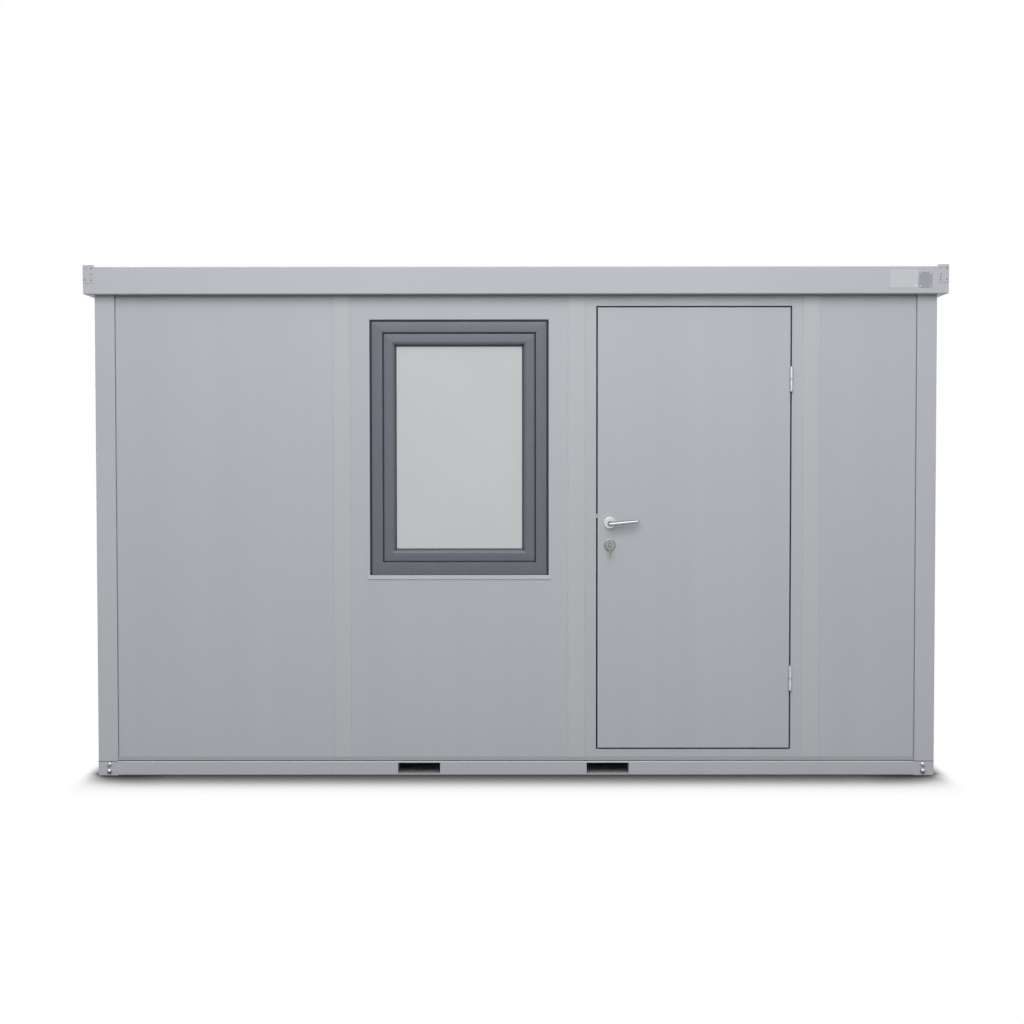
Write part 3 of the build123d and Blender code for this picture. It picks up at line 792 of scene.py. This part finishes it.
def pressed_roses(name, node, bore, material):
    """The rose on each face of the leaf, in place of a CAD node."""
    low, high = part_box(node)
    centre = (low + high) / 2
    radius = (high.x - low.x) / 2
    collar = bore + rose_rim
    shape = bmesh.new()
    for face, way in ((low.y + rose_thickness, -1), (high.y - rose_thickness, 1)):
        front = face + way * rose_thickness
        dish = front - way * rose_dish
        profile = [(bore, face), (radius, face)]
        profile += arc(radius - rose_rim, front - way * rose_rim, rose_rim, 0, way, rose_rim_steps)
        profile += [(collar + rose_rim, dish), (collar, dish), (collar, front), (bore, front)]
        turned_solid(shape, centre, "Y", profile, rose_sides, ring=True)
    add_shape(name, shape, material, "door", [node])


pressed_roses("pressed_handle_roses", "handle_roses", handle_bore,
              satin_stainless("satin_stainless_handle_rose", handle_rose_sheen_greys))
pressed_roses("pressed_lock_roses", "lock_roses", lock_bore,
              satin_stainless("satin_stainless_lock_rose", lock_rose_shade_greys))

# Lock cylinder
# A nickel-plated brass cylinder runs through the leaf, with a keyway in its face.
# A fine raised rim shows where the plug turns in it.

nickel_greys = ("#7D7B77", "#A5A29D")
nickel_noise = (0.004, 3.0)
nickel_roughness = (0.28, 0.42)
plug_radius = 0.0088
plug_rim = 0.0011
plug_rise = 0.0006


def nickel_plating(name, colours):
    """Nickel on brass: a bright metal, a little warm, with light handling marks."""
    return mottled(name, colours, nickel_noise, nickel_roughness, Metallic=1.0)


nickel = nickel_plating("nickel_plated_brass", nickel_greys)
finish_nodes(nickel, "lock_cylinder")
cylinder_low, cylinder_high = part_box("lock_cylinder")
lock_middle = (cylinder_low + cylinder_high) / 2
plug_shape = bmesh.new()
for face, way in ((cylinder_low.y, -1), (cylinder_high.y, 1)):
    plug_profile = ((plug_radius - plug_rim, face), (plug_radius, face),
                    (plug_radius - plug_rim / 2, face + way * plug_rise))
    turned_solid(plug_shape, lock_middle, "Y", plug_profile, rose_sides, ring=True)
add_shape("cylinder_plug_rims", plug_shape, nickel, "door")

# Keys
# One key stands in the lock, and a spare hangs from a wire ring through the bow of the first.
# They are stamped from nickel-plated brass, with cuts milled along the blade; the spare is painted darker, as
# painted shade.

# The spare's darker grey is painted shade.
spare_shade_greys = ("#4C4B4A", "#6E6C6A")
key_sheet = 0.0024
key_bow_radius = 0.011
key_blade_half = 0.0038
key_blade_length = 0.024
key_hole_radius = 0.003
key_hole_drop = 0.003
spare_bow_radius = 0.010
spare_blade_length = 0.027
spare_hole_rise = 0.005
ring_radius = 0.011
wire_radius = 0.001
hang_play = 0.0002
cut_depth_shares = (0.0, 0.15, 0.7, 0.3, 0.85, 0.45, 0.2)
bow_steps = 28
hole_steps = 16
ring_steps = 40
wire_steps = 10


def key_outline(bow_radius, blade_length):
    """A key along its own length: a round bow, then a blade with milled cuts and a sloping tip."""
    turn = asin(key_blade_half / bow_radius)
    shoulder = bow_radius * cos(turn)
    tip = bow_radius + blade_length
    start = turn / (pi / 2)
    points = arc(0, 0, bow_radius, start, 4 - start, bow_steps)
    reach = tip - shoulder - key_blade_half
    for number, share in enumerate(cut_depth_shares, 1):
        points.append((shoulder + reach * number / len(cut_depth_shares), key_blade_half * (share - 1)))
    return points + [(tip, 0), (tip - key_blade_half, key_blade_half)]


def circle(along, across, radius, steps):
    """Points of a whole circle."""
    return arc(along, across, radius, 0, 4, steps)[:-1]


def flat_plate(shape, outline, near, far, place, hole=None):
    """Adds a plate between two depths, with an outline and a hole of its own; place puts it in the frame."""
    layers = []
    for depth in (near, far):
        rings = []
        edges = []
        for loop in (outline, hole) if hole else (outline,):
            ring = [shape.verts.new(place(along, across, depth)) for along, across in loop]
            edges += [shape.edges.new(pair) for pair in zip(ring, ring[1:] + ring[:1])]
            rings.append(ring)
        bmesh.ops.triangle_fill(shape, use_beauty=True, edges=edges)
        layers.append(rings)
    for front, back in zip(*layers):
        join_rings(shape, (front, back), len(front))


bow_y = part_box("door_keys")[0].y + key_bow_radius
wire_top = lock_middle.z - key_hole_drop - key_hole_radius + wire_radius + hang_play
ring_middle = Vector((lock_middle.x, bow_y, wire_top - ring_radius))
spare_hole = ring_middle.z - ring_radius + wire_radius + hang_play - key_hole_radius
spare_z = spare_hole - spare_hole_rise
keys_shape = bmesh.new()
flat_plate(keys_shape, key_outline(key_bow_radius, key_blade_length), -key_sheet / 2, key_sheet / 2,
           lambda along, across, depth: (lock_middle.x + depth, bow_y + along, lock_middle.z + across),
           circle(0, -key_hole_drop, key_hole_radius, hole_steps))
spare_shape = bmesh.new()
flat_plate(spare_shape, key_outline(spare_bow_radius, spare_blade_length), -key_sheet / 2, key_sheet / 2,
           lambda along, across, depth: (lock_middle.x + depth, bow_y + across, spare_z - along),
           circle(-spare_hole_rise, 0, key_hole_radius, hole_steps))
wire_profile = circle(ring_radius, bow_y, wire_radius, wire_steps)
turned_solid(keys_shape, ring_middle, "Y", wire_profile, ring_steps, ring=True)
add_shape("stamped_keys", keys_shape, nickel, "door", ["door_keys"])
spare_shaded_metal = nickel_plating("worn_nickel_plated_brass", spare_shade_greys)
add_shape("spare_key", spare_shape, spare_shaded_metal, "door")

# Lever handles
# Each lever is a round stainless bar on a neck that turns in the rose; it tapers and rises to its tip.
# A square spindle through the leaf joins the two.

# The bar's grey is darker than the plates' satin steel: painted shade for its dark underside.
bar_shade_greys = ("#8E9094", "#ACAEB2")
lever_radius = 0.0100
lever_tip_radius = 0.0082
lever_length = 0.136
lever_rise = radians(5.6)
lever_drop = 0.005
lever_end_steps = 6
lever_sides = 28
spindle_half = 0.004


def swept_bar(shape, path, across, sides):
    """Adds a round bar along a flat path of points and radii, square to the direction across."""
    rings = []
    for number, (point, radius) in enumerate(path):
        before = path[max(number - 1, 0)][0]
        after = path[min(number + 1, len(path) - 1)][0]
        side = (after - before).normalized().cross(across)
        made = []
        for corner in range(sides if radius > 0 else 1):
            angle = 2 * pi * corner / sides
            made.append(shape.verts.new(point + radius * (cos(angle) * across + sin(angle) * side)))
        rings.append(made)
    if len(rings[0]) > 1:
        shape.faces.new(rings[0])
    join_rings(shape, rings, sides)


def domed_end(centre, way, radius):
    """Path points and radii of a round end that closes on the line."""
    quarter = arc(0, 0, radius, 0, 1, lever_end_steps)[:-1]
    return [(centre + reach * way, width) for width, reach in quarter] + [(centre + radius * way, 0)]


handle_line = joint_places["handle_turn"]
lever_low, lever_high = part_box("lever_outside")
neck_reach = lever_high.y - handle_line.y
grip_reach = lever_low.y + lever_radius - handle_line.y
grip_way = Vector((cos(lever_rise), 0, sin(lever_rise)))
bar_shaded_steel = satin_stainless("satin_stainless_bar", bar_shade_greys)


def round_lever(name, node, way):
    """A lever on one face of the leaf, in place of a CAD node; way is 1 outside and -1 inside."""
    out = Vector((0, -way, 0))
    neck = handle_line + Vector((0, way * neck_reach, 0))
    neck_end = handle_line + Vector((0, way * (grip_reach + lever_radius), 0))
    root = handle_line + Vector((0, way * grip_reach, -lever_drop))
    tip = root + (lever_length - lever_tip_radius) * grip_way
    across = grip_way.cross(out)
    shape = bmesh.new()
    swept_bar(shape, [(neck, lever_radius)] + domed_end(neck_end, out, lever_radius), across, lever_sides)
    grip = domed_end(root, -grip_way, lever_radius)[::-1] + domed_end(tip, grip_way, lever_tip_radius)
    swept_bar(shape, grip, across, lever_sides)
    if way < 0:
        spindle = Vector((spindle_half, abs(neck_reach), spindle_half))
        add_block(shape, handle_line - spindle, handle_line + spindle)
    add_shape(name, shape, bar_shaded_steel, "handle", [node])


round_lever("round_lever_outside", "lever_outside", 1)
round_lever("round_lever_inside", "lever_inside", -1)

# Roof deck
# A ribbed insulated deck lies inside the roof frame, with a duller and darker coat than the wall panels.
# Self-drilling screws with sealing washers hold it down along the ribs.

roof_greys = ("#A4A7AB", "#A8ABAF")
roof_roughness = (0.66, 0.76)
rib_pitch = 0.333
ribs_each_side = 5
deck_screw_rows = (-0.90, -0.45, 0.0, 0.45, 0.90)
deck_screw_sizes = {"Washer Radius": 0.008, "Washer Height": 0.0018, "Head Radius": 0.0046,
                    "Head Height": 0.0036, "Crown Share": 0.8, "Sides": 6}

finish_nodes(coil_coated_steel("coil_coated_roof_steel", roof_greys, roof_roughness), "roof_deck")
deck_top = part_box("roof_deck")[1].z
deck_screw_places = []
for rib in range(-ribs_each_side, ribs_each_side + 1):
    for row in deck_screw_rows:
        deck_screw_places.append(((rib * rib_pitch, row, deck_top), (0, 0, 1)))
set_fasteners("deck_screws", deck_screw_places, deck_screw_sizes, zinc, "cabin")

# Roof fascia
# A ring of folded steel fascia closes the edge of the roof and drips clear of the walls.
# It has the frame's powder coat.

finish_nodes(frame_coat, *[f"roof_fascia_{side}" for side in wall_sides])

# Corner caps
# A folded steel cap covers the mitre of the fascia at each corner of the roof.
# Its legs stand a little above its lid; dull galvanised blind rivets hold both of them.

cap_rivet_room = 0.0015
cap_width = 0.055
cap_rise = 0.008
cap_lid = 0.0015
cap_bend = 0.003
cap_bend_steps = 5
rivet_columns = {0.041: (0.016, 0.043, 0.056, 0.070), 0.012: (0.016, 0.068)}
rivet_sizes = {"Washer Radius": 0.0046, "Washer Height": 0.0004, "Head Radius": 0.0038, "Head Height": 0.0007,
               "Crown Share": 0.7, "Sides": 12}


def at_corner(x_sign, y_sign):
    """A function that puts points at one corner of the roof."""
    return lambda along, across, depth: (x_sign * along, y_sign * across, depth)


cap_low, cap_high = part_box("roof_caps")
fascia_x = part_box("roof_fascia_right")[1].x
fascia_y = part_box("roof_fascia_back")[1].y
cap_x = cap_high.x - cap_rivet_room
cap_y = cap_high.y - cap_rivet_room
cap_seat = cap_high.z - cap_rise
inner_x = cap_high.x - cap_width
inner_y = cap_high.y - cap_width
leg_outline = (
    [(cap_x, inner_y)] + arc(cap_x - cap_bend, cap_y - cap_bend, cap_bend, 0, 1, cap_bend_steps)
    + [(inner_x, cap_y), (inner_x, fascia_y), (fascia_x, fascia_y), (fascia_x, inner_y)]
)
lid_outline = [(fascia_x, inner_y), (fascia_x, fascia_y), (inner_x, fascia_y), (inner_x, inner_y)]
caps_shape = bmesh.new()
rivet_places = []
for x_sign, y_sign in corner_signs:
    cap_place = at_corner(x_sign, y_sign)
    flat_plate(caps_shape, leg_outline, cap_low.z, cap_high.z, cap_place)
    flat_plate(caps_shape, lid_outline, cap_seat, cap_seat + cap_lid, cap_place)
    for inset, rows in rivet_columns.items():
        for row in rows:
            height = cap_high.z - row
            rivet_places.append((cap_place(cap_high.x - inset, cap_y, height), (0, y_sign, 0)))
            rivet_places.append((cap_place(cap_x, cap_high.y - inset, height), (x_sign, 0, 0)))
add_shape("folded_corner_caps", caps_shape, frame_coat, "cabin", ["roof_caps"])
set_fasteners("cap_rivets", rivet_places, rivet_sizes, galvanised, "cabin")

# Blank plates
# Two small blank plates are riveted side by side to the front fascia near its right end.
# They are aluminium sheet, enamelled in pale and in middle grey.

blank_plates = {
    "blank_plate": (1.727, 1.854, 2.268, 2.351, ("#C1C3C8", "#C6C8CD")),
    "small_blank_plate": (1.860, 1.921, 2.268, 2.341, ("#9498A0", "#9A9EA6")),
}
blank_sheet = 0.0008
blank_corner = 0.006
blank_corner_steps = 4
blank_rivet_inset = 0.008
blank_rivet_sizes = {"Washer Radius": 0.0034, "Washer Height": 0.0003, "Head Radius": 0.0028,
                     "Head Height": 0.0006, "Crown Share": 0.7, "Sides": 12}
enamel_noise = (0.004, 2.0)
enamel_roughness = (0.36, 0.46)


def baked_enamel(name, colours):
    """Baked enamel on sheet: a smooth grey with a faint mottle."""
    return mottled(name, colours, enamel_noise, enamel_roughness, IOR=coat_ior)


def rounded_corners(left, right, bottom, top, radius, steps):
    """The outline of a rectangle with round corners."""
    points = []
    middles = ((right - radius, top - radius), (left + radius, top - radius),
               (left + radius, bottom + radius), (right - radius, bottom + radius))
    for quarter, (along, across) in enumerate(middles):
        points += arc(along, across, radius, quarter, quarter + 1, steps)
    return points


fascia_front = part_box("roof_fascia_front")[0].y
blank_front = fascia_front - blank_sheet
blank_rivet_places = []
for blank_name, (left, right, bottom, top, blank_greys) in blank_plates.items():
    blank_shape = bmesh.new()
    flat_plate(blank_shape, rounded_corners(left, right, bottom, top, blank_corner, blank_corner_steps),
               blank_front, fascia_front, lambda along, across, depth: (along, depth, across))
    enamel = baked_enamel(f"enamelled_{blank_name}", blank_greys)
    add_shape(blank_name, blank_shape, enamel, "cabin")
    for x in (left + blank_rivet_inset, right - blank_rivet_inset):
        for z in (bottom + blank_rivet_inset, top - blank_rivet_inset):
            blank_rivet_places.append(((x, blank_front, z), (0, -1, 0)))
set_fasteners("blank_plate_rivets", blank_rivet_places, blank_rivet_sizes, zinc, "cabin")

# Studio floor
# A pale plain floor that stays white in the picture and darkens only where the cabin stands close over it.
# The shade is broad along the long sides and narrow past the ends.

white = "#FFFFFF"
floor_grey = "#767676"
floor_reach = 60.0
floor_shade_reach = 0.55
floor_shade_samples = 16
floor_shade_greys = (white, "#EEEEEE", "#868686", "#686868", "#383838")
floor_shade_places = (0.04, 0.164, 0.326, 0.415, 0.50)
end_shade_start = 1.945
end_shade_end = 2.04
corner_shade_start = 1.6
corner_shade_gain = 1.3


def seen_rays(tree):
    """1 for rays that come from the camera, from metal or through glass, and 0 for the others."""
    rays = add_node(tree, "ShaderNodeLightPath").outputs
    seen = calculate(tree, "MAXIMUM", rays["Is Camera Ray"], rays["Is Glossy Ray"])
    return calculate(tree, "MAXIMUM", seen, rays["Is Transmission Ray"])


def studio_floor(name):
    """A matt grey floor that is seen as white, with a soft shade where something stands close over it."""
    tree, place, _ = new_material(name)
    open_sky = add_node(tree, "ShaderNodeAmbientOcclusion", {"Distance": floor_shade_reach},
                        samples=floor_shade_samples)
    along = add_node(tree, "ShaderNodeSeparateXYZ", {"Vector": place}).outputs["X"]
    past_middle = calculate(tree, "ABSOLUTE", along)
    gain = between(tree, past_middle, (1.0, corner_shade_gain), (corner_shade_start, end_shade_start))
    covered = calculate(tree, "SUBTRACT", 1.0, open_sky.outputs["AO"])
    deepened = calculate(tree, "MULTIPLY", covered, gain)
    past_end = between(tree, past_middle, (0.0, 1.0), (end_shade_start, end_shade_end),
                       interpolation_type="SMOOTHSTEP")
    faded = add_node(tree, "ShaderNodeMix", {
        "Factor": past_end, 6: tones(tree, deepened, floor_shade_greys, floor_shade_places), 7: linear(white),
    }, data_type="RGBA")
    shown = add_node(tree, "ShaderNodeEmission", {"Color": faded.outputs[2], "Strength": 1.0})
    matt = add_node(tree, "ShaderNodeBsdfDiffuse", {"Color": linear(floor_grey)})
    mix = add_node(tree, "ShaderNodeMixShader", {
        0: seen_rays(tree), 1: matt.outputs["BSDF"], 2: shown.outputs["Emission"],
    })
    add_node(tree, "ShaderNodeOutputMaterial", {"Surface": mix.outputs["Shader"]})
    return bpy.data.materials[name]


floor_mesh = bpy.data.meshes.new("studio_floor")
floor_corners = [(x_sign * floor_reach, y_sign * floor_reach, 0) for x_sign, y_sign in corner_signs]
floor_mesh.from_pydata(floor_corners, [], [(0, 2, 3, 1)])
floor_mesh.materials.append(studio_floor("pale_studio_floor"))
place_object("studio_floor", floor_mesh)

# Studio light
# A dim room, brighter overhead, fills the shadows, and a large soft lamp hangs high before the front wall.
# Weaker lamps light the back and the ends.

room_strengths = (0.08, 0.78)
lamps = {
    "front_lamp": (Vector((0.0, -7.4, 5.6)), Vector((0.0, -1.0, 1.3)), (7.0, 6.0), 470.0),
    "back_lamp": (Vector((0.0, 7.4, 5.2)), Vector((0.0, 1.0, 1.3)), (7.0, 4.0), 400.0),
    "left_lamp": (Vector((-7.0, 1.4, 4.6)), Vector((-2.0, 0.0, 1.3)), (4.0, 2.4), 240.0),
    "right_lamp": (Vector((7.0, 1.4, 4.6)), Vector((2.0, 0.0, 1.3)), (4.0, 2.4), 240.0),
}

world = bpy.data.worlds.new("studio_room")
bpy.context.scene.world = world
world.use_nodes = True
room = world.node_tree
room.nodes.clear()
room_way = add_node(room, "ShaderNodeTexCoord").outputs["Generated"]
room_height = add_node(room, "ShaderNodeSeparateXYZ", {"Vector": room_way}).outputs["Z"]
room_fill = add_node(room, "ShaderNodeBackground", {
    "Color": linear(white), "Strength": between(room, room_height, room_strengths),
})
room_white = add_node(room, "ShaderNodeBackground", {"Color": linear(white), "Strength": 1.0})
room_mix = add_node(room, "ShaderNodeMixShader", {
    0: seen_rays(room), 1: room_fill.outputs["Background"], 2: room_white.outputs["Background"],
})
add_node(room, "ShaderNodeOutputWorld", {"Surface": room_mix.outputs["Shader"]})

for lamp_name, (lamp_place, lamp_aim, lamp_sizes, lamp_power) in lamps.items():
    lamp = bpy.data.lights.new(lamp_name, "AREA")
    lamp.shape = "RECTANGLE"
    lamp.size, lamp.size_y = lamp_sizes
    lamp.energy = lamp_power
    lamp_stand = place_object(lamp_name, lamp)
    lamp_stand.location = lamp_place
    lamp_stand.rotation_euler = (lamp_aim - lamp_place).to_track_quat("-Z", "Y").to_euler()

# Camera
# It stands nine metres from the cabin's middle at eye height, nearly square to the front.
# It looks slightly down, with a lens a little longer than a normal one.

camera_place = (-0.001, -9.0, 1.499)
camera_tilt = radians(1.919)
camera_roll = radians(0.042)
camera_turn = radians(0.119)
camera_lens = 60.0
camera_sensor = 36.0

camera_data = bpy.data.cameras.new("front_camera")
camera_data.lens = camera_lens
camera_data.sensor_width = camera_sensor
camera = place_object("front_camera", camera_data)
camera.location = camera_place
camera.rotation_euler = (pi / 2 - camera_tilt, camera_roll, camera_turn)
bpy.context.scene.camera = camera
bpy.context.scene.view_settings.view_transform = "Standard"
